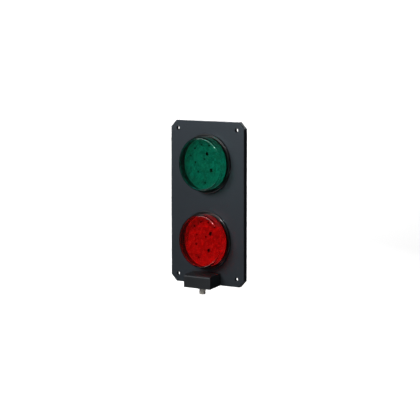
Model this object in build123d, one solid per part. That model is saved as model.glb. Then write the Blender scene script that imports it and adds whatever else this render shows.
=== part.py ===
from build123d import *
import math
import os

os.makedirs("parts", exist_ok=True)

# Two-aspect LED signal light for fixing flat against a wall or machine guard.
# Y = 0 is the rear face of the plate, the light looks along -Y, and Z is up.

# ---- mounting plate ----
plate_w = 165.0
plate_h = 294.0
plate_t = 9.0
corner_cut = 12.0
front_edge_r = 1.6
fix_pitch_x = 132.0
fix_pitch_z = 265.0
fix_hole_d = 7.0
fix_relief_d = 13.0
fix_relief_depth = 3.0

# ---- lamp positions ----
lamp_pitch = 138.5
lamp_mid_z = 1.75
green_z = lamp_mid_z + lamp_pitch / 2
red_z = lamp_mid_z - lamp_pitch / 2
green_board_turn = 0.0
red_board_turn = -25.0

# ---- lamp base, a black moulded dish ----
base_gasket_t = 0.6
base_gasket_in_r = 40.0
base_r = 50.5
base_floor_t = 1.4
base_opening_r = 10.0
base_rim_in_r = 43.6
base_rim_out_r = 45.8
base_floor_top = base_gasket_t + base_floor_t
screw_boss_r = 3.2
base_screw_ring_r = 36.0
base_screw_count = 3
base_screw_start = 60.0
base_screw_boss_top = 3.5

# ---- LED board ----
board_r = 46.0
board_t = 1.6
board_back = 3.8
board_front = board_back + board_t
board_screw_ring_r = 33.7
board_screw_count = 3
board_screw_start = 20.0
led_l = 3.5
led_w = 2.8
led_h = 1.1
led_rings = {13.0: 6, 27.5: 12, 40.0: 18}

# ---- dark surface-mount parts on the LED board ----
regulator_ring_r = 19.0
regulator_start = 72.0
regulator_step = -108.0
regulator_count = 2
regulator_w = 4.2
regulator_l = 6.8
regulator_h = 1.9
resistor_w = 2.8
resistor_l = 3.4
resistor_h = 0.9
inner_resistor_r = 7.9
inner_resistor_at = 94.0
middle_resistor_r = 20.5
middle_resistor_start = 175.0
middle_resistor_step = 51.0
middle_resistor_count = 2
outer_resistor_r = 34.2
outer_resistor_start = 73.0
outer_resistor_step = 28.0
outer_resistor_count = 4
lower_resistor_at = 272.0

# ---- lens cap, seal and bezel ring ----
cap_foot_r = 48.8
cap_front_r = 48.0
cap_wall = 2.1
cap_front_h = 22.2
cap_front_t = 2.4
cap_edge_r = 3.4
cap_inner_edge_r = 1.4
cap_flange_r = 50.2
cap_flange_t = 1.0
seal_in_r = 47.0
seal_out_r = 49.4
seal_depth = 0.6
bezel_out_r = 53.5
bezel_in_r = 49.0
bezel_top = 3.8
bezel_edge_r = 1.2

# ---- screws ----
m3_r = 1.5
m3_head_r = 2.8
m3_head_h = 1.9
m3_pocket_r = 3.1
m3_pocket_depth = 2.6
m3_clear_r = 1.6
m3_drive_r = 1.1
small_screw_r = 1.1
small_head_r = 2.1
small_head_h = 1.1
small_drive_r = 0.75
drive_depth_share = 0.6
thread_gap = 0.05

# ---- wiring channel in the rear face, and its cover ----
channel_w = 16.0
channel_depth = 6.6
channel_top_z = green_z + 16.0
channel_bottom_z = -135.0
cover_w = 26.0
cover_t = 1.5
cover_border = 5.0
cover_gap = 0.2
cover_screw_rows = 5
cover_screw_x = 10.5
cover_screw_inset = 3.5
cover_screw_len = 5.0
lamp_opening_r = 12.0
box_opening_h = 8.0
box_opening_z = -133.5

# ---- lead wires ----
lead_r = 0.65
lead_x_step = 4.0
lead_y = -4.1
lead_bend_r = 2.0
socket_w = 9.0
socket_h = 5.4
socket_len = 4.4

# ---- connector box at the foot of the plate ----
box_w = 60.0
box_out = 30.0
box_gasket_t = 0.8
box_top_back_z = -124.2
box_top_front_z = -129.0
box_bottom_back_z = -147.2
box_bottom_front_z = -151.7
box_wall = 2.0
box_edge_r = 1.4
box_brow_r = 4.0
box_screw_x = 25.0
box_screw_z = -136.5
box_boss_r = 3.4
box_boss_len = 10.0
box_screw_len = 14.0

# ---- driver board inside the box ----
driver_w = 38.0
driver_d = 21.0
driver_t = 1.6
driver_top_z = -136.6
driver_back_out = 3.6
pillar_x = 15.5
pillar_out = 22.5
pillar_r = 2.4
pillar_foot_z = -149.4
terminal_d = 5.2
terminal_h = 6.0
terminal_w = 19.0
driver_resistor_x = 8.7
driver_resistor_start = 11.6
driver_resistor_pitch = 3.8
driver_resistor_rows = 3

# ---- M12 connector under the box ----
connector_out = 13.0
connector_seat_z = -150.6
pad_r = 9.0
pad_top_z = -146.0
thread_r = 6.0
thread_pitch = 1.0
thread_root = 0.35
barrel_end_z = -163.4
flange_r = 7.6
flange_t = 2.4
connector_seal_t = 1.0
connector_seal_r = 7.2
barrel_bore_r = 4.6
barrel_bore_depth = 8.0
stem_top_z = -141.8
nut_across_flats = 15.0
nut_t = 3.0
insert_top_z = -140.4
insert_groove_r = 0.6
pin_r = 0.5
pin_ring_r = 3.1
pin_count = 4
pin_recess = 1.4
pin_top_z = -135.6

UP = (Align.CENTER, Align.CENTER, Align.MIN)


def rod(radius, low, high):
    return Cylinder(radius, high - low, align=UP).moved(Location((0, 0, low)))


def block(width, depth, low, high):
    return Box(width, depth, high - low, align=UP).moved(Location((0, 0, low)))


def turned(outline):
    """Body of revolution about local Z from (radius, height) corners."""
    corners = [(radius, 0, height) for radius, height in outline]
    return revolve(make_face(Polyline(*corners, close=True)), Axis.Z)


def around(shape, ring_r, angle):
    """The shape set on a ring and turned with it."""
    return shape.moved(Location((0, 0, 0), (0, 0, angle)) * Location((ring_r, 0, 0)))


def angles(start, count, step=None):
    spacing = 360 / count if step is None else step
    return [start + spacing * index for index in range(count)]


def on_plate(shape, z=0.0, turn=0.0):
    """Local Z points out of the front face of the plate."""
    seat = Plane(origin=(0, -plate_t, z), x_dir=(1, 0, 0), z_dir=(0, -1, 0))
    return shape.moved(seat.location * Location((0, 0, 0), (0, 0, turn)))


def from_rear(shape, x, z):
    """Local Z points into the plate from its rear face."""
    seat = Plane(origin=(x, 0, z), x_dir=(1, 0, 0), z_dir=(0, -1, 0))
    return shape.moved(seat.location)


def below_box(shape):
    """Local Z stays up, on the connector's axis."""
    return shape.moved(Location((0, -plate_t - connector_out, 0)))


def socket_screw(shank_r, head_r, head_h, drive_r, length):
    """Head from Z = 0 down to -head_h, shank up to Z = length."""
    screw = rod(head_r, -head_h, 0) + rod(shank_r, 0, length)
    drive = extrude(RegularPolygon(drive_r, 6), head_h * drive_depth_share)
    return screw - drive.moved(Location((0, 0, -head_h)))


def m3_from_rear(length, x, z):
    screw = socket_screw(m3_r, m3_head_r, m3_head_h, m3_drive_r, length)
    return from_rear(screw.moved(Location((0, 0, m3_pocket_depth))), x, z)


def small_screw(length):
    screw = socket_screw(small_screw_r, small_head_r, small_head_h, small_drive_r, length)
    return screw.rotate(Axis.X, 180)


def save(shape, node):
    export_step(shape, f"parts/{node}.step")


# ---- positions shared by the holes and the screws in them ----

def fixing_points():
    half_x = fix_pitch_x / 2
    half_z = fix_pitch_z / 2
    return [(sx * half_x, sz * half_z) for sx in (-1, 1) for sz in (-1, 1)]


def base_screw_points(lamp_z):
    points = []
    for angle in angles(base_screw_start, base_screw_count):
        x = base_screw_ring_r * math.cos(math.radians(angle))
        z = lamp_z + base_screw_ring_r * math.sin(math.radians(angle))
        points.append((x, z))
    return points


def box_screw_points():
    return [(side * box_screw_x, box_screw_z) for side in (-1, 1)]


def cover_screw_points():
    top = channel_top_z + cover_border - cover_screw_inset
    bottom = channel_bottom_z - cover_border + cover_screw_inset
    pitch = (top - bottom) / (cover_screw_rows - 1)
    rows = [bottom + pitch * row for row in range(cover_screw_rows)]
    return [(side * cover_screw_x, z) for z in rows for side in (-1, 1)]


# ---- mounting plate and its rear cover ----

def plate_outline():
    half_w = plate_w / 2
    half_h = plate_h / 2
    corners = [
        (-half_w + corner_cut, -half_h),
        (half_w - corner_cut, -half_h),
        (half_w, -half_h + corner_cut),
        (half_w, half_h - corner_cut),
        (half_w - corner_cut, half_h),
        (-half_w + corner_cut, half_h),
        (-half_w, half_h - corner_cut),
        (-half_w, -half_h + corner_cut),
    ]
    return make_face(Polyline(*corners, close=True))


def mounting_plate():
    plate = on_plate(extrude(plate_outline(), -plate_t))
    front_edges = plate.faces().sort_by(Axis.Y)[0].edges()
    plate = fillet(front_edges, front_edge_r)
    for x, z in fixing_points():
        plate -= from_rear(rod(fix_hole_d / 2, 0, plate_t), x, z)
        plate -= from_rear(rod(fix_relief_d / 2, 0, fix_relief_depth), x, z)
    for lamp_z in (green_z, red_z):
        plate -= from_rear(rod(lamp_opening_r, 0, plate_t), 0, lamp_z)
        for x, z in base_screw_points(lamp_z):
            plate -= from_rear(rod(m3_clear_r, 0, plate_t), x, z)
            plate -= from_rear(rod(m3_pocket_r, 0, m3_pocket_depth), x, z)
    for x, z in box_screw_points():
        plate -= from_rear(rod(m3_clear_r, 0, plate_t), x, z)
        plate -= from_rear(rod(m3_pocket_r, 0, m3_pocket_depth), x, z)
    length = channel_top_z - channel_bottom_z
    middle = (channel_top_z + channel_bottom_z) / 2
    plate -= from_rear(block(channel_w, length, 0, channel_depth), 0, middle)
    recess = block(cover_w + 2 * cover_gap, length + 2 * (cover_border + cover_gap), 0, cover_t)
    plate -= from_rear(recess, 0, middle)
    plate -= from_rear(block(channel_w, box_opening_h, 0, plate_t), 0, box_opening_z)
    for x, z in cover_screw_points():
        plate -= from_rear(rod(small_screw_r + thread_gap, 0, cover_screw_len + cover_t), x, z)
    return plate


def channel_cover():
    length = channel_top_z - channel_bottom_z + 2 * cover_border
    middle = (channel_top_z + channel_bottom_z) / 2
    cover = from_rear(block(cover_w, length, 0, cover_t), 0, middle)
    for x, z in cover_screw_points():
        cover -= from_rear(rod(small_screw_r + thread_gap, 0, cover_t), x, z)
        cover -= from_rear(rod(small_head_r + thread_gap, 0, small_head_h), x, z)
    return cover


def channel_cover_screws():
    screw = socket_screw(small_screw_r, small_head_r, small_head_h, small_drive_r, cover_screw_len)
    seated = screw.moved(Location((0, 0, small_head_h)))
    return Compound(children=[from_rear(seated, x, z) for x, z in cover_screw_points()])


# ---- one lamp, built on local Z and set on the plate afterwards ----

def lamp_base_gasket():
    return rod(base_r, 0, base_gasket_t) - rod(base_gasket_in_r, 0, base_gasket_t)


def lamp_base(board_turn):
    floor = rod(base_r, base_gasket_t, base_floor_top) - rod(base_opening_r, base_gasket_t, base_floor_top)
    foot = rod(base_gasket_in_r, 0, base_gasket_t) - rod(base_opening_r, 0, base_gasket_t)
    rim = rod(base_rim_out_r, base_floor_top, board_back) - rod(base_rim_in_r, base_floor_top, board_back)
    base = floor + foot + rim
    base -= lens_seal()
    for angle in angles(base_screw_start, base_screw_count):
        base += around(rod(screw_boss_r, 0, base_screw_boss_top), base_screw_ring_r, angle)
        base -= around(rod(m3_r + thread_gap, 0, base_screw_boss_top), base_screw_ring_r, angle)
    for angle in angles(board_screw_start + board_turn, board_screw_count):
        base += around(rod(screw_boss_r, 0, board_back), board_screw_ring_r, angle)
        base -= around(rod(small_screw_r + thread_gap, 0, board_back), board_screw_ring_r, angle)
    return base


def lamp_base_screws(lamp_z):
    length = plate_t - m3_pocket_depth + base_screw_boss_top
    return Compound(children=[m3_from_rear(length, x, z) for x, z in base_screw_points(lamp_z)])


def led_board():
    board = rod(board_r, board_back, board_front)
    for angle in angles(board_screw_start, board_screw_count):
        hole = rod(small_screw_r + 2 * thread_gap, board_back, board_front)
        board -= around(hole, board_screw_ring_r, angle)
    return board


def led_board_screws():
    screw = small_screw(board_front - base_gasket_t)
    seated = screw.moved(Location((0, 0, board_front)))
    places = angles(board_screw_start, board_screw_count)
    return Compound(children=[around(seated, board_screw_ring_r, angle) for angle in places])


def leds():
    chip = block(led_l, led_w, board_front, board_front + led_h)
    chips = [chip]
    for ring_r, count in led_rings.items():
        chips += [around(chip, ring_r, angle) for angle in angles(0, count)]
    return Compound(children=chips)


def board_parts():
    regulator = block(regulator_w, regulator_l, board_front, board_front + regulator_h)
    resistor = block(resistor_w, resistor_l, board_front, board_front + resistor_h)
    parts = []
    for angle in angles(regulator_start, regulator_count, regulator_step):
        upright = regulator.rotate(Axis.Z, -angle)
        parts.append(around(upright, regulator_ring_r, angle))
    parts.append(around(resistor, inner_resistor_r, inner_resistor_at))
    for angle in angles(middle_resistor_start, middle_resistor_count, middle_resistor_step):
        parts.append(around(resistor, middle_resistor_r, angle))
    for angle in angles(outer_resistor_start, outer_resistor_count, outer_resistor_step):
        parts.append(around(resistor, outer_resistor_r, angle))
    parts.append(around(resistor, outer_resistor_r, lower_resistor_at))
    return Compound(children=parts)


def lead_xs(side):
    """The two leads of a lamp lie side by side, the green pair left of the red pair."""
    near = side * lead_x_step / 2
    return (near, near + side * lead_x_step)


def lead_socket(side):
    socket = block(socket_w, socket_h, board_back - socket_len, board_back)
    return socket.moved(Location((sum(lead_xs(side)) / 2, 0, 0)))


def leads(side, lamp_z):
    wires = []
    socket_y = -plate_t - board_back + socket_len
    terminal_y = -plate_t - driver_back_out
    terminal_z = driver_top_z + terminal_h / 2
    for x in lead_xs(side):
        route = FilletPolyline(
            (x, socket_y, lamp_z),
            (x, lead_y, lamp_z),
            (x, lead_y, terminal_z),
            (x, terminal_y, terminal_z),
            radius=lead_bend_r,
        )
        start = Plane(origin=route @ 0, z_dir=route % 0)
        wires.append(sweep(start * Circle(lead_r), path=route))
    return Compound(children=wires)


def lens_seal():
    low = base_floor_top - seal_depth
    return rod(seal_out_r, low, base_floor_top) - rod(seal_in_r, low, base_floor_top)


def lens_cap():
    inner_foot_r = cap_foot_r - cap_wall
    inner_front_r = cap_front_r - cap_wall
    ceiling = cap_front_h - cap_front_t
    flange_top = base_floor_top + cap_flange_t
    outside = turned([
        (0, base_floor_top),
        (cap_flange_r, base_floor_top),
        (cap_flange_r, flange_top),
        (cap_foot_r, flange_top),
        (cap_front_r, cap_front_h),
        (0, cap_front_h),
    ])
    rim = outside.edges().filter_by(GeomType.CIRCLE).sort_by(Axis.Z)[-1]
    outside = fillet(rim, cap_edge_r)
    inside = turned([
        (0, base_floor_top),
        (inner_foot_r, base_floor_top),
        (inner_front_r, ceiling),
        (0, ceiling),
    ])
    inner_rim = inside.edges().filter_by(GeomType.CIRCLE).sort_by(Axis.Z)[-1]
    return outside - fillet(inner_rim, cap_inner_edge_r)


def bezel_ring():
    flange_top = base_floor_top + cap_flange_t
    skirt_in_r = base_r + thread_gap
    ring = turned([
        (skirt_in_r, 0),
        (bezel_out_r, 0),
        (bezel_out_r, bezel_top),
        (bezel_in_r, bezel_top),
        (bezel_in_r, flange_top),
        (skirt_in_r, flange_top),
    ])
    crown = ring.edges().filter_by(GeomType.CIRCLE).group_by(Axis.Z)[-1]
    return fillet(crown.sort_by(SortBy.RADIUS)[-1], bezel_edge_r)


def save_lamp(colour, lamp_z, board_turn, side):
    save(on_plate(lamp_base_gasket(), lamp_z), f"{colour}_base_gasket")
    save(on_plate(lamp_base(board_turn), lamp_z), f"{colour}_lamp_base")
    save(lamp_base_screws(lamp_z), f"{colour}_base_screws")
    save(on_plate(led_board(), lamp_z, board_turn), f"{colour}_led_board")
    save(on_plate(led_board_screws(), lamp_z, board_turn), f"{colour}_board_screws")
    save(on_plate(leds(), lamp_z, board_turn), f"{colour}_leds")
    save(on_plate(board_parts(), lamp_z, board_turn), f"{colour}_board_parts")
    save(on_plate(lead_socket(side), lamp_z), f"{colour}_lead_socket")
    save(leads(side, lamp_z), f"{colour}_leads")
    save(on_plate(lens_seal(), lamp_z), f"{colour}_lens_seal")
    save(on_plate(lens_cap(), lamp_z), f"{colour}_lens_cap")
    save(on_plate(bezel_ring(), lamp_z), f"{colour}_bezel_ring")


# ---- connector box ----

def box_side_view(inset, back, front):
    """Side view of the box, shrunk by inset, between two distances out from the plate."""
    top_fall = (box_top_front_z - box_top_back_z) / box_out
    bottom_fall = (box_bottom_front_z - box_bottom_back_z) / box_out
    corners = [
        (-plate_t - back, box_top_back_z + top_fall * back - inset),
        (-plate_t - front, box_top_back_z + top_fall * front - inset),
        (-plate_t - front, box_bottom_back_z + bottom_fall * front + inset),
        (-plate_t - back, box_bottom_back_z + bottom_fall * back + inset),
    ]
    return make_face(Plane.YZ * Polyline(*corners, close=True))


def box_prism(inset, back, front):
    half_w = box_w / 2 - inset
    return extrude(box_side_view(inset, back, front), half_w, both=True)


def round_brow(prism, radius):
    """Rounds the long edge where the top of the box turns down into its front."""
    front_face = prism.faces().sort_by(Axis.Y)[0]
    brow = front_face.edges().filter_by(Axis.X).sort_by(Axis.Z)[-1]
    return fillet(brow, radius)


def connector_box():
    shell = round_brow(box_prism(0, box_gasket_t, box_out), box_brow_r)
    rear_face = shell.faces().sort_by(Axis.Y)[-1]
    brow_ends = shell.edges().filter_by(GeomType.CIRCLE)
    brow_face = shell.faces().filter_by(GeomType.CYLINDER)[0]
    seams = [edge for edge in brow_face.edges() if edge not in brow_ends]
    outer_edges = [edge for edge in shell.edges() if edge not in rear_face.edges() and edge not in seams]
    shell = fillet(outer_edges, box_edge_r)
    hollow = round_brow(box_prism(box_wall, box_gasket_t, box_out - box_wall), box_brow_r - box_wall)
    shell -= hollow
    shell -= below_box(rod(pad_r, pad_top_z, stem_top_z))
    shell += below_box(rod(pad_r, connector_seat_z, pad_top_z))
    for side in (-1, 1):
        boss = rod(box_boss_r, box_gasket_t, box_gasket_t + box_boss_len)
        shell += on_plate(boss, box_screw_z).moved(Location((side * box_screw_x, 0, 0)))
        pillar = rod(pillar_r, pillar_foot_z, driver_top_z - driver_t)
        shell += pillar.moved(Location((side * pillar_x, -plate_t - pillar_out, 0)))
    for side in (-1, 1):
        pilot = rod(m3_r + thread_gap, box_gasket_t, box_gasket_t + box_boss_len - box_wall)
        shell -= on_plate(pilot, box_screw_z).moved(Location((side * box_screw_x, 0, 0)))
        pilot = rod(small_screw_r + thread_gap, pillar_foot_z + box_wall, driver_top_z - driver_t)
        shell -= pilot.moved(Location((side * pillar_x, -plate_t - pillar_out, 0)))
    shell -= below_box(rod(thread_r + 2 * thread_gap, connector_seat_z, pad_top_z))
    return shell


def box_gasket():
    return box_prism(0, 0, box_gasket_t) - box_prism(box_wall, 0, box_gasket_t)


def box_screws():
    return Compound(children=[m3_from_rear(box_screw_len, x, z) for x, z in box_screw_points()])


def at_driver(shape, x, out):
    return shape.moved(Location((x, -plate_t - out, 0)))


def driver_board():
    middle = driver_back_out + driver_d / 2
    board = at_driver(block(driver_w, driver_d, driver_top_z - driver_t, driver_top_z), 0, middle)
    for side in (-1, 1):
        hole = rod(small_screw_r + 2 * thread_gap, driver_top_z - driver_t, driver_top_z)
        board -= at_driver(hole, side * pillar_x, pillar_out)
    for angle in angles(0, pin_count):
        hole = rod(pin_r + thread_gap, driver_top_z - driver_t, driver_top_z)
        board -= below_box(around(hole, pin_ring_r, angle))
    return board


def driver_board_screws():
    screw = small_screw(driver_t + box_boss_len / 2).moved(Location((0, 0, driver_top_z)))
    return Compound(children=[at_driver(screw, side * pillar_x, pillar_out) for side in (-1, 1)])


def wire_terminal():
    terminal = block(terminal_w, terminal_d, driver_top_z, driver_top_z + terminal_h)
    return at_driver(terminal, 0, driver_back_out + terminal_d / 2)


def driver_board_parts():
    """A regulator in front of the connector pins, with a row of resistors down each side."""
    low = driver_top_z
    regulator = at_driver(block(regulator_l, regulator_w, low, low + regulator_h), 0, pillar_out)
    parts = [regulator]
    for side in (-1, 1):
        for row in range(driver_resistor_rows):
            resistor = block(resistor_l, resistor_w, low, low + resistor_h)
            out = driver_resistor_start + row * driver_resistor_pitch
            parts.append(at_driver(resistor, side * driver_resistor_x, out))
    return Compound(children=parts)


# ---- M12 connector ----

def thread_outline(low, high):
    """Half section of a threaded length: one V groove per pitch."""
    corners = [(0, low), (thread_r - thread_root, low)]
    crest_z = low + thread_pitch / 2
    while crest_z < high:
        corners.append((thread_r, crest_z))
        corners.append((thread_r - thread_root, min(crest_z + thread_pitch / 2, high)))
        crest_z += thread_pitch
    corners.append((thread_r - thread_root, high))
    corners.append((0, high))
    return corners


def connector_body():
    flange_top = connector_seat_z - connector_seal_t
    flange_low = flange_top - flange_t
    body = turned(thread_outline(barrel_end_z, flange_low))
    flange = rod(flange_r, flange_low, flange_top)
    body += chamfer(flange.edges().filter_by(GeomType.CIRCLE), thread_root)
    body += rod(thread_r - thread_gap, flange_top, stem_top_z)
    body -= rod(barrel_bore_r, barrel_end_z, stem_top_z)
    return below_box(body)


def connector_seal():
    flange_top = connector_seat_z - connector_seal_t
    washer = rod(connector_seal_r, flange_top, connector_seat_z)
    return below_box(washer - rod(thread_r, flange_top, connector_seat_z))


def connector_locknut():
    hexagon = RegularPolygon(nut_across_flats / 2, 6, major_radius=False)
    nut = extrude(hexagon, nut_t).moved(Location((0, 0, pad_top_z)))
    return below_box(nut - rod(thread_r, pad_top_z, pad_top_z + nut_t))


def connector_insert():
    face_z = barrel_end_z + barrel_bore_depth
    insert = rod(barrel_bore_r - thread_gap, face_z, insert_top_z)
    for angle in angles(0, pin_count):
        insert -= around(rod(pin_r, face_z, insert_top_z), pin_ring_r, angle)
    key_angle = 180 / pin_count
    insert -= around(rod(insert_groove_r, face_z, insert_top_z), barrel_bore_r, key_angle)
    return below_box(insert)


def connector_pins():
    pin = rod(pin_r, barrel_end_z + pin_recess, pin_top_z)
    tip = pin.edges().filter_by(GeomType.CIRCLE).sort_by(Axis.Z)[0]
    pin = chamfer(tip, pin_r / 2)
    places = angles(0, pin_count)
    return Compound(children=[below_box(around(pin, pin_ring_r, angle)) for angle in places])


save(mounting_plate(), "mounting_plate")
save(channel_cover(), "channel_cover")
save(channel_cover_screws(), "channel_cover_screws")
save_lamp("green", green_z, green_board_turn, -1)
save_lamp("red", red_z, red_board_turn, 1)
save(connector_box(), "connector_box")
save(box_gasket(), "box_gasket")
save(box_screws(), "box_screws")
save(driver_board(), "driver_board")
save(driver_board_parts(), "driver_board_parts")
save(driver_board_screws(), "driver_board_screws")
save(wire_terminal(), "wire_terminal")
save(connector_body(), "connector_body")
save(connector_seal(), "connector_seal")
save(connector_locknut(), "connector_locknut")
save(connector_insert(), "connector_insert")
save(connector_pins(), "connector_pins")
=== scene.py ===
import math

import bmesh
import bpy
from mathutils import Matrix, Vector


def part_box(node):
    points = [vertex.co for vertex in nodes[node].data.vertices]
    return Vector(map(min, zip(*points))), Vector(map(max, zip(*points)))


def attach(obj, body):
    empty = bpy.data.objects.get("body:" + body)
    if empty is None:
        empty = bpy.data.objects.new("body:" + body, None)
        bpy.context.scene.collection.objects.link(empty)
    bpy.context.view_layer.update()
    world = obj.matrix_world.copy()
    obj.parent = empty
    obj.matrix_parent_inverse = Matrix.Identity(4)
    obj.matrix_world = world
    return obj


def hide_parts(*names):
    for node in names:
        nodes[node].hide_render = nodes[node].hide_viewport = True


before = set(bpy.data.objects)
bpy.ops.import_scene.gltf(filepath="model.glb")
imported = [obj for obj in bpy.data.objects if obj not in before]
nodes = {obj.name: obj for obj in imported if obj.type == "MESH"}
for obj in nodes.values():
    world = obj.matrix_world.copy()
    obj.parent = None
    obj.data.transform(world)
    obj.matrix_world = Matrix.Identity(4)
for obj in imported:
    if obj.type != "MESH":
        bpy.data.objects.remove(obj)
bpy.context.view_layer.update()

scene = bpy.context.scene


# ---------------------------------------------------------------- camera
# The light is looked at from its right and a little above, from about three
# metres away through a long lens, so its upright edges stay nearly parallel.

camera_turn = math.radians(37.73)
camera_rise = math.radians(5.95)
camera_distance = 3.088
camera_aim = Vector((0.0069, -0.009, -0.0122))


def direction(turn, rise):
    """Unit vector towards a place round the light: turn 0 is straight in front."""
    flat = math.cos(rise)
    return Vector((math.sin(turn) * flat, -math.cos(turn) * flat, math.sin(rise)))


to_camera = direction(camera_turn, camera_rise)
camera_data = bpy.data.cameras.new("camera")
camera_data.sensor_width = 36.0
camera_data.lens = 147.8
camera_data.clip_end = 60.0
camera = bpy.data.objects.new("camera", camera_data)
camera.location = camera_aim + to_camera * camera_distance
camera.rotation_euler = to_camera.to_track_quat("Z", "Y").to_euler()
scene.collection.objects.link(camera)
scene.camera = camera


# ---------------------------------------------------------------- studio
# A pale floor that curves up into a plain backdrop behind the light. A soft
# key lamp gives the shadows and smaller ones draw the sheen and the rims.

floor_z = -0.62
sweep_back = 2.3
sweep_radius = 1.1
sweep_height = 3.6
sweep_half_width = 9.0
sweep_front = 1.0
sweep_steps = 24


def put(name, mesh):
    """Adds a mesh to the scene as an object at the origin."""
    piece = bpy.data.objects.new(name, mesh)
    scene.collection.objects.link(piece)
    return piece


def studio_sweep():
    """Floor and backdrop in one sheet, facing the camera."""
    profile = [(-sweep_front, 0.0), (sweep_back - sweep_radius, 0.0)]
    for step in range(1, sweep_steps + 1):
        angle = math.radians(90) * step / sweep_steps
        profile.append((
            sweep_back - sweep_radius + sweep_radius * math.sin(angle),
            sweep_radius * (1 - math.cos(angle)),
        ))
    profile.append((sweep_back, sweep_height))
    away = Vector((-to_camera.x, -to_camera.y, 0)).normalized()
    across = Vector((-away.y, away.x, 0))
    bm = bmesh.new()
    rows = []
    for far, high in profile:
        middle = away * far + Vector((0, 0, floor_z + high))
        rows.append([bm.verts.new(middle + across * side * sweep_half_width) for side in (-1, 1)])
    for low, top in zip(rows, rows[1:]):
        bm.faces.new((low[0], low[1], top[1], top[0])).smooth = True
    mesh = bpy.data.meshes.new("studio_sweep")
    bm.to_mesh(mesh)
    bm.free()
    return put("studio_sweep", mesh)


def softbox(name, turn, rise, distance, size, power, matt=True, sheen=True):
    """A soft lamp aimed at the light; it can feed matt surfaces, reflections or both."""
    lamp = bpy.data.lights.new(name, "AREA")
    lamp.shape = "RECTANGLE"
    lamp.size, lamp.size_y = size
    lamp.energy = power
    holder = bpy.data.objects.new(name, lamp)
    towards = direction(math.radians(turn), math.radians(rise))
    holder.location = towards * distance
    holder.rotation_euler = towards.to_track_quat("Z", "Y").to_euler()
    holder.visible_diffuse = matt
    holder.visible_glossy = sheen
    scene.collection.objects.link(holder)


def add_node(tree, kind, inputs=None, **settings):
    """A node with its settings, plain values and links given together."""
    fresh = tree.nodes.new(kind)
    for key, value in settings.items():
        setattr(fresh, key, value)
    for socket, value in (inputs or {}).items():
        if isinstance(value, bpy.types.NodeSocket):
            tree.links.new(value, fresh.inputs[socket])
        else:
            fresh.inputs[socket].default_value = value
    return fresh


def new_material(name, plain):
    """A material with plain values on its Principled shader."""
    material = bpy.data.materials.new(name)
    material.use_nodes = True
    shader = material.node_tree.nodes["Principled BSDF"]
    for socket, value in plain.items():
        shader.inputs[socket].default_value = value
    return material, material.node_tree, shader


paper_dark = (0.84, 0.84, 0.84, 1)
paper_light = (0.88, 0.88, 0.88, 1)
paper, tree, shader = new_material("studio_paper", {
    "Roughness": 0.9,
    "Specular IOR Level": 0.1,
})
spots = add_node(tree, "ShaderNodeTexNoise", {"Scale": 3.0, "Detail": 3.0})
tones = add_node(tree, "ShaderNodeMix", {
    0: spots.outputs["Fac"], 6: paper_dark, 7: paper_light,
}, data_type="RGBA")
tree.links.new(tones.outputs[2], shader.inputs["Base Color"])

sweep = studio_sweep()
sweep.data.materials.append(paper)
sweep.visible_diffuse = False
sweep.visible_glossy = False

softbox("key_upper_left", -29, 30, 2.4, (0.35, 0.35), 43, sheen=False)
softbox("sheen_wide", -27, 22, 1.5, (0.9, 0.6), 5.6, matt=False)
softbox("sheen_upper", -5, 26, 1.05, (0.07, 0.07), 2.6, matt=False)
softbox("sheen_lower", 20, -11.6, 1.6, (0.05, 0.05), 0.45, matt=False)
softbox("sheen_right_low", 50, -23, 1.8, (0.07, 0.07), 3, matt=False)
softbox("sheen_right_high", 31, 52, 1.8, (0.07, 0.07), 3, matt=False)
softbox("floor_glow", -25, -50, 1.6, (1.2, 0.7), 4, matt=False)
softbox("back_fill", 205, 25, 1.7, (0.9, 0.9), 34)
softbox("back_low", 205, -35, 0.95, (0.5, 0.5), 1.5)

backdrop_power = 130
backdrop_lamp_size = (3.0, 1.0)
backdrop_lamp_height = 1.5
backdrop_lamp_forward = 0.4
backdrop_lamp_lift = 0.15

backdrop_lamp = bpy.data.lights.new("backdrop_lamp", "AREA")
backdrop_lamp.shape = "RECTANGLE"
backdrop_lamp.size, backdrop_lamp.size_y = backdrop_lamp_size
backdrop_lamp.energy = backdrop_power
backdrop_holder = bpy.data.objects.new("backdrop_lamp", backdrop_lamp)
backdrop_aim = Vector((-to_camera.x, -to_camera.y, backdrop_lamp_lift)).normalized()
above = Vector((0, 0, backdrop_lamp_height))
backdrop_holder.location = above + backdrop_aim * backdrop_lamp_forward
backdrop_holder.rotation_euler = (-backdrop_aim).to_track_quat("Z", "Y").to_euler()
scene.collection.objects.link(backdrop_holder)

room_fill = 0.03
world = bpy.data.worlds.new("studio_air")
world.use_nodes = True
scene.world = world
tree = world.node_tree
seen = add_node(tree, "ShaderNodeLightPath")
strength = add_node(tree, "ShaderNodeMapRange", {
    "Value": seen.outputs["Is Camera Ray"], "To Min": room_fill, "To Max": 1.0,
})
air = tree.nodes["Background"]
air.inputs["Color"].default_value = (1, 1, 1, 1)
tree.links.new(strength.outputs["Result"], air.inputs["Strength"])
scene.view_settings.view_transform = "Standard"


# ---------------------------------------------------------------- mounting plate
# A 9 mm aluminium plate with its corners cut off, powder coated in satin
# charcoal. The coat has a fine orange-peel skin, and its edges are painted paler: partly worn
# coat, partly a painted highlight.


def new_group(name, inputs, outputs):
    """A shader node group with named float, colour or vector sockets."""
    group = bpy.data.node_groups.new(name, "ShaderNodeTree")
    kinds = {
        "value": "NodeSocketFloat",
        "colour": "NodeSocketColor",
        "vector": "NodeSocketVector",
    }
    for socket, kind, default in inputs:
        made = group.interface.new_socket(name=socket, in_out="INPUT", socket_type=kinds[kind])
        made.default_value = default
    for socket, kind in outputs:
        group.interface.new_socket(name=socket, in_out="OUTPUT", socket_type=kinds[kind])
    given = group.nodes.new("NodeGroupInput").outputs
    result = group.nodes.new("NodeGroupOutput").inputs
    return group, given, result


def math_node(tree, operation, first, second=0.0):
    made = add_node(tree, "ShaderNodeMath", {0: first, 1: second}, operation=operation)
    return made.outputs[0]


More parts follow.
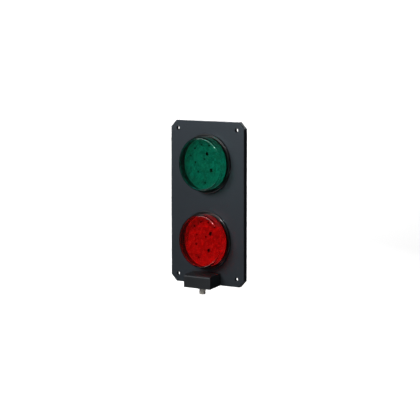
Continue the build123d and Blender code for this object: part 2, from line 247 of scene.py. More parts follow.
grain_group, given, result = new_group(
    "moulded_grain",
    [("Grain Scale", "value", 900.0), ("Pebble Share", "value", 0.5)],
    [("Height", "value"), ("Shade", "value")],
)
place = add_node(grain_group, "ShaderNodeTexCoord")
fine = add_node(grain_group, "ShaderNodeTexNoise", {
    "Vector": place.outputs["Object"], "Scale": given["Grain Scale"],
    "Detail": 3.0, "Roughness": 0.55,
})
pebbles = add_node(grain_group, "ShaderNodeTexVoronoi", {
    "Vector": place.outputs["Object"], "Scale": given["Grain Scale"],
}, feature="SMOOTH_F1")
blend = add_node(grain_group, "ShaderNodeMix", {
    "Factor": given["Pebble Share"], 2: fine.outputs["Fac"], 3: pebbles.outputs["Distance"],
})
clouds = add_node(grain_group, "ShaderNodeTexNoise", {
    "Vector": place.outputs["Object"], "Scale": 14.0, "Detail": 5.0, "Roughness": 0.6,
})
grain_group.links.new(blend.outputs[0], result["Height"])
grain_group.links.new(clouds.outputs["Fac"], result["Shade"])

# Paler edges: worn coat, and on the plate also a painted highlight along its edges.
edge_wear_highlight_group, given, result = new_group(
    "edge_wear_and_highlight",
    [("Width", "value", 0.0008), ("Patchiness", "value", 60.0), ("Strength", "value", 1.0)],
    [("Mask", "value")],
)
rounded = add_node(edge_wear_highlight_group, "ShaderNodeBevel", {"Radius": given["Width"]}, samples=6)
surface = add_node(edge_wear_highlight_group, "ShaderNodeNewGeometry")
facing = add_node(edge_wear_highlight_group, "ShaderNodeVectorMath", {
    0: rounded.outputs["Normal"], 1: surface.outputs["Normal"],
}, operation="DOT_PRODUCT")
bend = math_node(edge_wear_highlight_group, "SUBTRACT", 1.0, facing.outputs["Value"])
edge = add_node(edge_wear_highlight_group, "ShaderNodeMapRange", {
    "Value": bend, "From Min": 0.01, "From Max": 0.22,
})
place = add_node(edge_wear_highlight_group, "ShaderNodeTexCoord")
patches = add_node(edge_wear_highlight_group, "ShaderNodeTexNoise", {
    "Vector": place.outputs["Object"], "Scale": given["Patchiness"], "Detail": 4.0,
})
broken = add_node(edge_wear_highlight_group, "ShaderNodeMapRange", {
    "Value": patches.outputs["Fac"], "From Min": 0.4, "From Max": 0.62,
})
worn_and_lit = math_node(edge_wear_highlight_group, "MULTIPLY", edge.outputs["Result"], broken.outputs["Result"])
worn_and_lit = math_node(edge_wear_highlight_group, "MULTIPLY", worn_and_lit, given["Strength"])
edge_wear_highlight_group.links.new(worn_and_lit, result["Mask"])

dust_group, given, result = new_group(
    "settled_dust",
    [("Amount", "value", 0.3)],
    [("Mask", "value")],
)
surface = add_node(dust_group, "ShaderNodeNewGeometry")
parts = add_node(dust_group, "ShaderNodeSeparateXYZ", {"Vector": surface.outputs["Normal"]})
upward = add_node(dust_group, "ShaderNodeMapRange", {
    "Value": parts.outputs["Z"], "From Min": 0.25, "From Max": 1.0,
})
place = add_node(dust_group, "ShaderNodeTexCoord")
specks = add_node(dust_group, "ShaderNodeTexNoise", {
    "Vector": place.outputs["Object"], "Scale": 420.0, "Detail": 6.0, "Roughness": 0.7,
})
settled = math_node(dust_group, "MULTIPLY", upward.outputs["Result"], specks.outputs["Fac"])
settled = math_node(dust_group, "MULTIPLY", settled, given["Amount"])
dust_group.links.new(settled, result["Mask"])


def use_group(tree, group, values):
    made = tree.nodes.new("ShaderNodeGroup")
    made.node_tree = group
    for socket, value in values.items():
        made.inputs[socket].default_value = value
    return made.outputs


def mix_colour(tree, factor, first, second):
    made = add_node(tree, "ShaderNodeMix", {0: factor, 6: first, 7: second}, data_type="RGBA")
    return made.outputs[2]


def map_value(tree, value, low, high, to_low, to_high):
    made = add_node(tree, "ShaderNodeMapRange", {
        "Value": value, "From Min": low, "From Max": high, "To Min": to_low, "To Max": to_high,
    })
    return made.outputs["Result"]


def bump(tree, shader, height, strength, distance):
    made = add_node(tree, "ShaderNodeBump", {
        "Height": height, "Strength": strength, "Distance": distance,
    })
    tree.links.new(made.outputs["Normal"], shader.inputs["Normal"])


dust_colour = (0.32, 0.3, 0.27, 1)
cloud_lift = 1.22


def moulded_finish(name, colour, pale, roughness, grain, depth, dust, wear_and_highlight, plain=None):
    """Coated or moulded surface: cloudy tone, fine grain, paler edges, a trace of dust."""
    material, tree, shader = new_material(name, plain or {})
    skin = use_group(tree, grain_group, {"Grain Scale": grain, "Pebble Share": 0.55})
    edges = use_group(tree, edge_wear_highlight_group, {"Width": 0.0007, "Patchiness": 90.0, "Strength": wear_and_highlight})
    film = use_group(tree, dust_group, {"Amount": dust})
    tone = map_value(tree, skin["Shade"], 0.3, 0.7, 0.0, 1.0)
    lighter = tuple(channel * cloud_lift for channel in colour)
    base = mix_colour(tree, tone, (*colour, 1), (*lighter, 1))
    base = mix_colour(tree, edges["Mask"], base, (*pale, 1))
    base = mix_colour(tree, film["Mask"], base, dust_colour)
    tree.links.new(base, shader.inputs["Base Color"])
    gloss = map_value(tree, skin["Shade"], 0.25, 0.75, roughness - 0.05, roughness + 0.06)
    gloss = math_node(tree, "ADD", gloss, math_node(tree, "MULTIPLY", film["Mask"], 0.5))
    tree.links.new(gloss, shader.inputs["Roughness"])
    bump(tree, shader, skin["Height"], 0.35, depth)
    return material


def dress(node, material):
    """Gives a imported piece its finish."""
    for slot in nodes[node].material_slots:
        slot.material = material


# On the plate the paler edge colour is partly worn coat and partly a painted highlight along the
# edges.
plate_coat = moulded_finish(
    "plate_powder_coat", (0.009, 0.0112, 0.0145), (0.042, 0.045, 0.048),
    0.55, 1500.0, 0.00004, 0.02, 0.6,
    {"Specular IOR Level": 1.0, "Specular Tint": (0.74, 0.87, 1.0, 1)},
)

# The bores of the four fixing holes are painted nearly black and matt: painted shade for the
# inside of the holes.
fixing_half_x = 0.066
fixing_half_z = 0.1325
bore_shade_in = 0.0037
bore_shade_out = 0.0040
bore_painted_shade_colour = (0.002, 0.002, 0.002, 1)

tree = plate_coat.node_tree
shader = tree.nodes["Principled BSDF"]
place = add_node(tree, "ShaderNodeTexCoord")
parts = add_node(tree, "ShaderNodeSeparateXYZ", {"Vector": place.outputs["Object"]})
off_x = math_node(tree, "ABSOLUTE", parts.outputs["X"])
off_x = math_node(tree, "SUBTRACT", off_x, fixing_half_x)
off_z = math_node(tree, "ABSOLUTE", parts.outputs["Z"])
off_z = math_node(tree, "SUBTRACT", off_z, fixing_half_z)
offset = add_node(tree, "ShaderNodeCombineXYZ", {"X": off_x, "Y": off_z})
reach = add_node(tree, "ShaderNodeVectorMath", {0: offset.outputs[0]}, operation="LENGTH")
bore = map_value(tree, reach.outputs["Value"], bore_shade_in, bore_shade_out, 1.0, 0.0)
coat_colour = shader.inputs["Base Color"].links[0].from_socket
coat_gloss = shader.inputs["Roughness"].links[0].from_socket
shaded = mix_colour(tree, bore, coat_colour, bore_painted_shade_colour)
tree.links.new(shaded, shader.inputs["Base Color"])
tree.links.new(math_node(tree, "MAXIMUM", coat_gloss, bore), shader.inputs["Roughness"])
dress("mounting_plate", plate_coat)


# ---------------------------------------------------------------- rear cover
# A strip of brushed aluminium lies flush in the back of the plate and closes
# the wiring channel. Ten small socket screws hold it.


scratch_dulling = 0.72


def brushed_metal(name, colour, roughness, stretch):
    """Metal with fine parallel scratches; stretch is the scratch direction's scale."""
    material, tree, shader = new_material(name, {"Metallic": 1.0, "Anisotropic": 0.4})
    place = add_node(tree, "ShaderNodeTexCoord")
    drawn = add_node(tree, "ShaderNodeMapping", {
        "Vector": place.outputs["Object"], "Scale": stretch,
    })
    scratches = add_node(tree, "ShaderNodeTexNoise", {
        "Vector": drawn.outputs["Vector"], "Scale": 60.0, "Detail": 6.0, "Roughness": 0.7,
    })
    clouds = add_node(tree, "ShaderNodeTexNoise", {
        "Vector": place.outputs["Object"], "Scale": 30.0, "Detail": 3.0,
    })
    dull = tuple(channel * scratch_dulling for channel in colour)
    streak = map_value(tree, scratches.outputs["Fac"], 0.3, 0.7, 0.0, 1.0)
    tone = mix_colour(tree, streak, (*dull, 1), (*colour, 1))
    tree.links.new(tone, shader.inputs["Base Color"])
    gloss = math_node(tree, "MULTIPLY", clouds.outputs["Fac"], 0.16)
    gloss = math_node(tree, "ADD", gloss, math_node(tree, "MULTIPLY", streak, 0.1))
    tree.links.new(math_node(tree, "ADD", gloss, roughness), shader.inputs["Roughness"])
    bump(tree, shader, scratches.outputs["Fac"], 0.2, 0.00002)
    return material


cover_sheet = brushed_metal(
    "cover_brushed_sheet", (0.72, 0.73, 0.74), 0.34, (40.0, 40.0, 1.2),
)
dress("channel_cover", cover_sheet)
screw_zinc = brushed_metal("screw_zinc_plate", (0.6, 0.6, 0.58), 0.2, (6.0, 6.0, 6.0))
for node in ("channel_cover_screws", "green_base_screws", "red_base_screws", "box_screws",
             "green_board_screws", "red_board_screws", "driver_board_screws"):
    dress(node, screw_zinc)


# ---------------------------------------------------------------- gaskets and seals
# Flat washers and rings cut from black rubber sheet. They close the joints
# under the lamps, the lens caps, the connector box and the connector.

rubber = moulded_finish(
    "seal_rubber", (0.012, 0.012, 0.013), (0.03, 0.03, 0.03),
    0.62, 2200.0, 0.00005, 0.3, 0.3,
)
for node in ("green_base_gasket", "red_base_gasket", "green_lens_seal", "red_lens_seal",
             "box_gasket", "connector_seal"):
    dress(node, rubber)


# ---------------------------------------------------------------- lamp bases
# A shallow black dish moulded in polycarbonate sits under each lens cap. Its
# bosses carry the LED board and take the screws that come through the plate.

base_black = moulded_finish(
    "base_black_plastic", (0.008, 0.009, 0.01), (0.03, 0.03, 0.03),
    0.45, 1800.0, 0.00003, 0.0, 0.2,
)
for colour in ("green", "red"):
    dress(f"{colour}_lamp_base", base_black)


# ---------------------------------------------------------------- bezel rings
# A black ring is pressed over each base and holds the foot of the cap. It is
# satin with a thin clear coat, and its rounded lip catches a line of light.

lathe_steps = 192
corner_steps = 6
on_axis = 1e-9
weld_distance = 1e-7


def lathe(bm, profile, to_world, steps, material_index=0, closed=True):
    """Turns (radius, height) corners about the local Z axis."""
    rings = []
    for radius, height in profile:
        if radius < on_axis:
            rings.append([bm.verts.new(to_world @ Vector((0, 0, height)))])
            continue
        rings.append([
            bm.verts.new(to_world @ Vector((
                radius * math.cos(2 * math.pi * step / steps),
                radius * math.sin(2 * math.pi * step / steps),
                height,
            )))
            for step in range(steps)
        ])
    pairs = list(zip(rings, rings[1:]))
    if closed:
        pairs.append((rings[-1], rings[0]))
    for near, far in pairs:
        for step in range(steps):
            after = (step + 1) % steps
            corners = [near[step % len(near)], near[after % len(near)],
                       far[after % len(far)], far[step % len(far)]]
            unique = list(dict.fromkeys(corners))
            if len(unique) > 2:
                face = bm.faces.new(unique)
                face.smooth = True
                face.material_index = material_index


def rounded_corner(before, corner, after, radius):
    """Points of an arc that rounds a corner of a profile."""
    before, corner, after = Vector(before), Vector(corner), Vector(after)
    to_before = (before - corner).normalized()
    to_after = (after - corner).normalized()
    half = to_before.angle(to_after) / 2
    start = corner + to_before * radius / math.tan(half)
    end = corner + to_after * radius / math.tan(half)
    centre = corner + (to_before + to_after).normalized() * radius / math.sin(half)
    first, last = start - centre, end - centre
    bend = first.angle(last)
    points = []
    for step in range(corner_steps + 1):
        share = step / corner_steps
        arm = first * math.sin((1 - share) * bend) + last * math.sin(share * bend)
        points.append(tuple(centre + arm / math.sin(bend)))
    return points


def smooth_profile(corners):
    """A closed profile from (radius, height, rounding) corners."""
    points = []
    for index, (radius, height, rounding) in enumerate(corners):
        if rounding:
            before = corners[index - 1][:2]
            after = corners[(index + 1) % len(corners)][:2]
            points += rounded_corner(before, (radius, height), after, rounding)
        else:
            points.append((radius, height))
    return points


def finish_piece(name, bm, materials, replaced, sharp=35):
    """Turns a bmesh into a piece that rides on the light."""
    bmesh.ops.remove_doubles(bm, verts=bm.verts, dist=weld_distance)
    bmesh.ops.recalc_face_normals(bm, faces=bm.faces)
    mesh = bpy.data.meshes.new(name)
    bm.to_mesh(mesh)
    bm.free()
    mesh.set_sharp_from_angle(angle=math.radians(sharp))
    for material in materials:
        mesh.materials.append(material)
    piece = put(name, mesh)
    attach(piece, "root")
    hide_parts(*replaced)


def turned_by(degrees):
    return Matrix.Rotation(math.radians(degrees), 4, "Z")


def lamp_frame(colour, turn=0.0):
    """Local Z out of the plate's front face, at the middle of a lamp."""
    low, high = (Vector(corner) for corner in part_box(f"{colour}_lens_cap"))
    plate_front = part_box("mounting_plate")[0][1]
    middle = Vector(((low.x + high.x) / 2, plate_front, (low.z + high.z) / 2))
    outward = Matrix(((1, 0, 0), (0, 0, -1), (0, 1, 0))).to_4x4()
    return Matrix.Translation(middle) @ outward @ turned_by(turn)


bezel_satin = moulded_finish(
    "bezel_satin_black", (0.006, 0.007, 0.008), (0.03, 0.03, 0.03),
    0.3, 900.0, 0.00001, 0.0, 0.3,
    {"Specular IOR Level": 0.5, "Coat Weight": 0.6, "Coat Roughness": 0.06},
)
bezel_corners = [
    (0.05055, 0.0, 0.0),
    (0.0535, 0.0, 0.0003),
    (0.0535, 0.0038, 0.0012),
    (0.0490, 0.0038, 0.0004),
    (0.0490, 0.0030, 0.0),
    (0.05055, 0.0030, 0.0),
]
for colour in ("green", "red"):
    bm = bmesh.new()
    lathe(bm, smooth_profile(bezel_corners), lamp_frame(colour), lathe_steps)
    finish_piece(f"{colour}_bezel", bm, [bezel_satin],
                 [f"{colour}_bezel_ring"])


# ---------------------------------------------------------------- lens caps
# Each cap is a flat-fronted cup moulded in clear tinted polycarbonate, with a
# thick wall, a rounded front edge and a thin flange round its foot.


wall_passes = 0.35


def cap_plastic(name, tint):
    """Tinted clear plastic; light reaches the board mostly through the cap's front."""
    material, tree, shader = new_material(name, {
        "Base Color": (*tint, 1),
        "Transmission Weight": 1.0,
        "IOR": 1.58,
        "Metallic": 0.0,
    })
    place = add_node(tree, "ShaderNodeTexCoord")
    ripple = add_node(tree, "ShaderNodeTexNoise", {
        "Vector": place.outputs["Object"], "Scale": 45.0, "Detail": 2.0,
    })
    smears = add_node(tree, "ShaderNodeTexNoise", {
        "Vector": place.outputs["Object"], "Scale": 24.0, "Detail": 5.0, "Distortion": 0.8,
    })
    haze = map_value(tree, smears.outputs["Fac"], 0.4, 0.75, 0.005, 0.018)
    tree.links.new(haze, shader.inputs["Roughness"])
    bump(tree, shader, ripple.outputs["Fac"], 0.05, 0.0004)
    lamp_ray = add_node(tree, "ShaderNodeLightPath")
    veil = tuple(math.sqrt(channel) for channel in tint)
    surface = add_node(tree, "ShaderNodeNewGeometry")
    parts = add_node(tree, "ShaderNodeSeparateXYZ", {"Vector": surface.outputs["Normal"]})
    squareness = math_node(tree, "ABSOLUTE", parts.outputs["Y"])
    front = map_value(tree, squareness, 0.5, 0.8, wall_passes, 1.0)
    clear = add_node(tree, "ShaderNodeBsdfTransparent", {
        "Color": mix_colour(tree, front, (0.0, 0.0, 0.0, 1), (*veil, 1)),
    })
    output = tree.nodes["Material Output"]
    either = add_node(tree, "ShaderNodeMixShader", {
        0: lamp_ray.outputs["Is Shadow Ray"],
        1: shader.outputs["BSDF"],
        2: clear.outputs["BSDF"],
    })
    tree.links.new(either.outputs["Shader"], output.inputs["Surface"])
    return material


cap_tint = {"green": (0.012, 0.26, 0.2), "red": (0.52, 0.02, 0.018)}
cap_corners = [
    (0.0467, 0.0020, 0.0),
    (0.0502, 0.0020, 0.0),
    (0.0502, 0.0030, 0.0003),
    (0.0488, 0.0030, 0.0),
    (0.0480, 0.0222, 0.0034),
    (0.0, 0.0222, 0.0),
    (0.0, 0.0198, 0.0),
    (0.0459, 0.0198, 0.0014),
]
for colour in ("green", "red"):
    bm = bmesh.new()
    lathe(bm, smooth_profile(cap_corners), lamp_frame(colour), lathe_steps)
    plastic = cap_plastic(f"{colour}_cap_plastic", cap_tint[colour])
    finish_piece(f"{colour}_cap", bm, [plastic],
                 [f"{colour}_lens_cap"], sharp=50)


# ---------------------------------------------------------------- LED boards
# A round glass-fibre board under each cap, printed with white mask over
# copper. Tracks run in rings between the LEDs and stand up slightly.

pattern_group, given, result = new_group(
    "board_pattern",
    [("Centre", "vector", (0.0, 0.0, 0.0)), ("Turn", "value", 0.0)],
    [("Colour", "colour"), ("Height", "value"), ("Tin", "value")],
)
place = add_node(pattern_group, "ShaderNodeTexCoord")
centred = add_node(pattern_group, "ShaderNodeVectorMath", {
    0: place.outputs["Object"], 1: given["Centre"],
}, operation="SUBTRACT")
turned = add_node(pattern_group, "ShaderNodeVectorRotate", {
    "Vector": centred.outputs[0], "Angle": given["Turn"],
}, rotation_type="Y_AXIS")
parts = add_node(pattern_group, "ShaderNodeSeparateXYZ", {"Vector": turned.outputs[0]})
flat = add_node(pattern_group, "ShaderNodeCombineXYZ", {
    "X": parts.outputs["X"], "Y": parts.outputs["Z"],
})
length = add_node(pattern_group, "ShaderNodeVectorMath", {
    0: flat.outputs[0],
}, operation="LENGTH")
radius = length.outputs["Value"]


def pattern_math(operation, first, second=0.0):
    return math_node(pattern_group, operation, first, second)


def pattern_mask(value, solid_below, clear_above):
    """1 where the value is small, fading out between the two limits."""
    return map_value(pattern_group, value, solid_below, clear_above, 1.0, 0.0)


track_rings = (0.0098, 0.0162, 0.0241, 0.0309, 0.0368, 0.0432)
tracks = None
for ring_radius in track_rings:
    off = pattern_math("ABSOLUTE", pattern_math("SUBTRACT", radius, ring_radius))
    line = pattern_mask(off, 0.00035, 0.0006)
    tracks = line if tracks is None else pattern_math("MAXIMUM", tracks, line)

spokes_per_turn = 18
angle = pattern_math("ARCTAN2", parts.outputs["Z"], parts.outputs["X"])
spokes = pattern_math("MULTIPLY", angle, spokes_per_turn / (2 * math.pi))
spokes = pattern_math("SUBTRACT", pattern_math("FRACT", spokes), 0.5)
gap = pattern_mask(pattern_math("ABSOLUTE", spokes), 0.02, 0.05)

copper_patch = (0.0042, 0.0056, 1.0)
snapped = add_node(pattern_group, "ShaderNodeVectorMath", {
    0: flat.outputs[0], 1: copper_patch,
}, operation="SNAP")
patch = add_node(pattern_group, "ShaderNodeTexWhiteNoise", {"Vector": snapped.outputs[0]})
clouds = add_node(pattern_group, "ShaderNodeTexNoise", {
    "Vector": flat.outputs[0], "Scale": 90.0, "Detail": 4.0,
})
uneven = pattern_math("ADD", pattern_math("MULTIPLY", patch.outputs["Value"], 0.6),
                      pattern_math("MULTIPLY", clouds.outputs["Fac"], 0.4))
vias = add_node(pattern_group, "ShaderNodeTexVoronoi", {"Vector": flat.outputs[0], "Scale": 260.0})
dots = pattern_mask(vias.outputs["Distance"], 0.05, 0.09)

mask_dark = (0.3, 0.31, 0.29, 1)
mask_light = (0.86, 0.86, 0.82, 1)
finished = mix_colour(pattern_group, uneven, mask_dark, mask_light)
for place_mask, share, tone in (
    (tracks, 0.55, (0.5, 0.5, 0.44, 1)),
    (gap, 0.35, (0.42, 0.43, 0.4, 1)),
    (dots, 0.8, (0.25, 0.25, 0.24, 1)),
):
    cover = pattern_math("MULTIPLY", place_mask, share)
    finished = mix_colour(pattern_group, cover, finished, tone)
plated_from = 0.0451
plated_to = 0.0453
plated_colour = (0.9, 0.9, 0.87, 1)
plated = map_value(pattern_group, radius, plated_from, plated_to, 0.0, 1.0)
finished = mix_colour(pattern_group, plated, finished, plated_colour)
pattern_group.links.new(finished, result["Colour"])
raised = pattern_math("ADD", tracks, pattern_math("MULTIPLY", dots, 0.5))
pattern_group.links.new(raised, result["Height"])
pattern_group.links.new(dots, result["Tin"])

lamp_turn = {"green": 0.0, "red": -25.0}
for colour in ("green", "red"):
    material, tree, shader = new_material(f"{colour}_board_mask", {"Specular IOR Level": 0.4})
    middle = lamp_frame(colour).translation
    pattern = use_group(tree, pattern_group, {
        "Centre": tuple(middle), "Turn": math.radians(lamp_turn[colour]),
    })
    tree.links.new(pattern["Colour"], shader.inputs["Base Color"])
    gloss = map_value(tree, pattern["Tin"], 0.0, 1.0, 0.42, 0.25)
    tree.links.new(gloss, shader.inputs["Roughness"])
    bump(tree, shader, pattern["Height"], 0.5, 0.00006)
    dress(f"{colour}_led_board", material)


# ---------------------------------------------------------------- LEDs
# Small white ceramic packages are soldered flat to the board. Each has a
# round window of clear resin over its chip and tinned ends.


def mottled(tree, shader, mottle, dark, light):
    """Colours a shader between two tones that follow a noise."""
    tone = mix_colour(tree, mottle.outputs["Fac"], dark, light)
    tree.links.new(tone, shader.inputs["Base Color"])


def mottled_gloss(tree, shader, mottle, smooth, rough):
    gloss = map_value(tree, mottle.outputs["Fac"], 0.3, 0.7, smooth, rough)
    tree.links.new(gloss, shader.inputs["Roughness"])


led_body, tree, shader = new_material("led_package", {"Roughness": 0.35})
speck = add_node(tree, "ShaderNodeTexNoise", {"Scale": 2500.0, "Detail": 3.0})
mottled(tree, shader, speck, (0.66, 0.66, 0.62, 1), (0.8, 0.8, 0.77, 1))
bump(tree, shader, speck.outputs["Fac"], 0.2, 0.00002)

led_window, tree, shader = new_material("led_resin", {"Coat Weight": 0.7, "Coat Roughness": 0.05})
place = add_node(tree, "ShaderNodeTexCoord")
gel = add_node(tree, "ShaderNodeTexNoise", {"Vector": place.outputs["Object"], "Scale": 900.0})
mottled(tree, shader, gel, (0.52, 0.49, 0.3, 1), (0.7, 0.67, 0.46, 1))
mottled_gloss(tree, shader, gel, 0.12, 0.25)

tin, tree, shader = new_material("solder_tin", {"Metallic": 1.0})
grainy = add_node(tree, "ShaderNodeTexNoise", {"Scale": 1800.0, "Detail": 4.0})
mottled(tree, shader, grainy, (0.42, 0.42, 0.41, 1), (0.68, 0.67, 0.65, 1))
mottled_gloss(tree, shader, grainy, 0.2, 0.4)
bump(tree, shader, grainy.outputs["Fac"], 0.3, 0.00003)


def bevelled_block(bm, to_world, size, low, high, rounding, material_index, shift=(0, 0)):
    """A block with its edges broken, standing on local Z from low to high."""
    width, depth = size
    scale = Matrix.Diagonal((width, depth, high - low, 1))
    move = Matrix.Translation((shift[0], shift[1], (low + high) / 2))
    made = bmesh.ops.create_cube(bm, size=1.0, matrix=to_world @ move @ scale)
    edges = {edge for vert in made["verts"] for edge in vert.link_edges}
    bevelled = bmesh.ops.bevel(
        bm, geom=list(edges), offset=rounding, segments=2, affect="EDGES", profile=0.6,
    )
    faces = {face for vert in bevelled["verts"] for face in vert.link_faces}
    for face in faces:
        face.material_index = material_index


board_front = 0.0054
led_size = (0.0035, 0.0028)
led_seat = board_front + 0.00008
led_top = board_front + 0.0008
led_rounding = 0.00012
led_end_size = (0.0006, 0.0024)
led_end_top = board_front + 0.0003
led_end_x = 0.00165
led_rings = {0.0130: 6, 0.0275: 12, 0.0400: 18}
tin_rounding = 0.0001
window_radius = 0.00112
window_steps = 20
window_profile = [
    (window_radius, led_top - 0.0001),
    (window_radius, led_top + 0.00005),
    (window_radius * 0.8, led_top + 0.00016),
    (window_radius * 0.4, led_top + 0.00024),
    (0.0, led_top + 0.00026),
    (0.0, led_top - 0.0001),
]


def add_led(bm, to_world):
    bevelled_block(bm, to_world, led_size, led_seat, led_top, led_rounding, 0)
    for side in (-1, 1):
        bevelled_block(bm, to_world, led_end_size, board_front, led_end_top, tin_rounding, 2,
                       (side * led_end_x, 0))
    lathe(bm, window_profile, to_world, window_steps, 1, closed=False)


for colour in ("green", "red"):
    lamp = lamp_frame(colour, lamp_turn[colour])
    bm = bmesh.new()
    add_led(bm, lamp)
    for ring_radius, count in led_rings.items():
        for index in range(count):
            spin = turned_by(360 * index / count)
            add_led(bm, lamp @ spin @ Matrix.Translation((ring_radius, 0, 0)))
    finish_piece(f"{colour}_led_set", bm, [led_body, led_window, tin],
                 [f"{colour}_leds"])


# ---------------------------------------------------------------- dark board parts
# Two black current regulators with bent tin legs, and small flat resistors
# with tinned ends, soldered between the rings of LEDs.

epoxy = moulded_finish(
    "chip_epoxy", (0.01, 0.01, 0.011), (0.03, 0.03, 0.03),
    0.5, 3500.0, 0.00002, 0.0, 0.2,
)
regulator_ring = 0.019
regulator_angles = (72.0, -36.0)
regulator_size = (0.0042, 0.0056)
regulator_seat = board_front + 0.0001
regulator_top = board_front + 0.0018
regulator_rounding = 0.00022
tab_size = (0.0030, 0.0008)
tab_top = board_front + 0.0004
leg_size = (0.0007, 0.0008)
leg_top = board_front + 0.0005
leg_pitch = 0.0013
leg_y = 0.0030
resistor_size = (0.0028, 0.0031)
resistor_seat = board_front + 0.00005
resistor_top = board_front + 0.0008
resistor_end_size = (0.0026, 0.0003)
resistor_end_y = 0.00155
outer_resistors = 4
outer_resistor_start = 73.0
outer_resistor_step = 28.0
resistor_places = [(0.0079, 94.0), (0.0205, 175.0), (0.0205, 226.0), (0.0342, 272.0)]
for index in range(outer_resistors):
    resistor_places.append((0.0342, outer_resistor_start + outer_resistor_step * index))


def add_regulator(bm, to_world):
    bevelled_block(bm, to_world, regulator_size, regulator_seat, regulator_top,
                   regulator_rounding, 0)
    bevelled_block(bm, to_world, tab_size, board_front, tab_top, tin_rounding, 1, (0, leg_y))
    for leg in (-1, 0, 1):
        bevelled_block(bm, to_world, leg_size, board_front, leg_top, tin_rounding, 1,
                       (leg * leg_pitch, -leg_y))


def add_resistor(bm, to_world):
    bevelled_block(bm, to_world, resistor_size, resistor_seat, resistor_top, tin_rounding, 0)
    for side in (-1, 1):
        bevelled_block(bm, to_world, resistor_end_size, board_front, leg_top, tin_rounding, 1,
                       (0, side * resistor_end_y))


for colour in ("green", "red"):
    lamp = lamp_frame(colour, lamp_turn[colour])
    bm = bmesh.new()
    for degrees in regulator_angles:
        seat = turned_by(degrees) @ Matrix.Translation((regulator_ring, 0, 0))
        add_regulator(bm, lamp @ seat @ turned_by(-degrees))
    for ring_radius, degrees in resistor_places:
        seat = turned_by(degrees) @ Matrix.Translation((ring_radius, 0, 0))
        add_resistor(bm, lamp @ seat)
    finish_piece(f"{colour}_chips", bm, [epoxy, tin], [f"{colour}_board_parts"])


# ---------------------------------------------------------------- sockets and leads
# A nylon socket on the back of each board takes two black leads, which run
# down the channel in the plate to the connector box.

nylon = moulded_finish(
    "socket_nylon", (0.5, 0.48, 0.42), (0.6, 0.58, 0.52),
    0.4, 1400.0, 0.00003, 0.0, 0.2,
)
lead_cover = moulded_finish(
    "lead_pvc", (0.015, 0.015, 0.016), (0.03, 0.03, 0.03),
    0.35, 900.0, 0.00002, 0.0, 0.0,
)
for colour in ("green", "red"):
    dress(f"{colour}_lead_socket", nylon)
    dress(f"{colour}_leads", lead_cover)


# ---------------------------------------------------------------- connector box
# A charcoal box moulded in fine-grained plastic hangs at the foot of the
# plate. Its top and bottom slope down to the front to shed water.

box_grain = moulded_finish(
    "box_grained_plastic", (0.006, 0.0068, 0.008), (0.02, 0.021, 0.023),
    0.5, 1300.0, 0.00006, 0.0, 0.6,
    {"Specular IOR Level": 1.0, "Specular Tint": (0.88, 0.94, 1.0, 1)},
)
dress("connector_box", box_grain)


# ---------------------------------------------------------------- driver board
# Inside the box a small green board carries a wire terminal, a regulator and
# power resistors. The connector's pins are soldered straight into it.

board_green = moulded_finish(
    "driver_green_mask", (0.012, 0.11, 0.045), (0.2, 0.28, 0.2),
    0.3, 600.0, 0.00003, 0.0, 0.3,
)
terminal_green = moulded_finish(
    "terminal_moulding", (0.03, 0.19, 0.06), (0.1, 0.3, 0.12),
    0.4, 1500.0, 0.00003, 0.0, 0.3,
)
dress("driver_board", board_green)
dress("wire_terminal", terminal_green)
dress("driver_board_parts", epoxy)


# ---------------------------------------------------------------- M12 connector
# A nickel-plated brass body points down out of the box. It has a flange, a
# 12 mm fine thread, a black insert and four gold-plated pins.

nickel = brushed_metal("connector_nickel", (0.95, 0.92, 0.87), 0.42, (3.0, 3.0, 30.0))
gold = brushed_metal("pin_gold", (0.83, 0.6, 0.24), 0.14, (8.0, 8.0, 2.0))
insert_black = moulded_finish(
    "insert_black_nylon", (0.012, 0.012, 0.013), (0.03, 0.03, 0.03),
    0.45, 2000.0, 0.00003, 0.0, 0.2,
)
dress("connector_locknut", nickel)
dress("connector_pins", gold)
dress("connector_insert", insert_black)

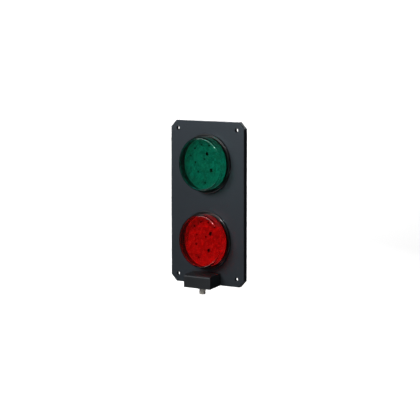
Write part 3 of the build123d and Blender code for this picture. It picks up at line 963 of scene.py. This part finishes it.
body_low, body_high = (Vector(corner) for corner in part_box("connector_body"))
body_middle = (body_low + body_high) / 2
connector_axis = Vector((body_middle.x, body_middle.y, 0))
barrel_low = body_low.z
barrel_lip = 0.0003
thread_top = barrel_low + 0.0094
thread_crest = 0.0060
thread_depth = 0.00042
thread_root = thread_crest - thread_depth
thread_pitch = 0.0010
thread_lead_in = 0.0008
thread_run_out = 0.0012
ridge_height = 1.25
ridge_slope = 3.2
bore_radius = 0.0046
flange_radius = (body_high.x - body_low.x) / 2
flange_low = thread_top
flange_high = flange_low + 0.0024
flange_edge = 0.0004
stem_radius = 0.00595
stem_top = body_high.z
thread_steps = 96
thread_rows = 112


def thread_radius(height, turn):
    """Radius of the helix at a height and a share of a turn."""
    phase = ((height - barrel_low) / thread_pitch - turn) % 1.0
    ridge = min(1.0, max(0.0, ridge_height - abs(phase - 0.5) * ridge_slope))
    lead_in = (height - barrel_low) / thread_lead_in
    run_out = (thread_top - height) / thread_run_out
    return thread_root + thread_depth * ridge * max(0.0, min(1.0, lead_in, run_out))


def threaded_barrel(bm, to_world):
    """The whole body as one closed skin, with a true helix on the barrel."""
    rows = []

    def ring(height, radius_at):
        circle = []
        for step in range(thread_steps):
            turn = step / thread_steps
            radius = radius_at(turn)
            across = Vector((math.cos(2 * math.pi * turn), math.sin(2 * math.pi * turn), 0))
            corner = across * radius + Vector((0, 0, height))
            circle.append(bm.verts.new(to_world @ corner))
        rows.append(circle)

    def plain_rings(corners):
        for radius, height in corners:
            ring(height, lambda turn: radius)

    thread_low = barrel_low + barrel_lip
    plain_rings([
        (bore_radius, stem_top),
        (bore_radius, thread_low),
        (bore_radius + barrel_lip, barrel_low),
        (thread_root - barrel_lip, barrel_low),
    ])
    for row in range(thread_rows + 1):
        height = thread_low + (thread_top - thread_low) * row / thread_rows
        ring(height, lambda turn: thread_radius(height, turn))
    plain_rings([
        (flange_radius - flange_edge, flange_low),
        (flange_radius, flange_low + flange_edge),
        (flange_radius, flange_high - flange_edge),
        (flange_radius - flange_edge, flange_high),
        (stem_radius, flange_high),
        (stem_radius, stem_top),
    ])
    for near, far in zip(rows, rows[1:] + rows[:1]):
        for step in range(thread_steps):
            after = (step + 1) % thread_steps
            skin = bm.faces.new((near[step], near[after], far[after], far[step]))
            skin.smooth = True


bm = bmesh.new()
threaded_barrel(bm, Matrix.Translation(connector_axis))
finish_piece("connector_shell", bm, [nickel], ["connector_body"], sharp=28)
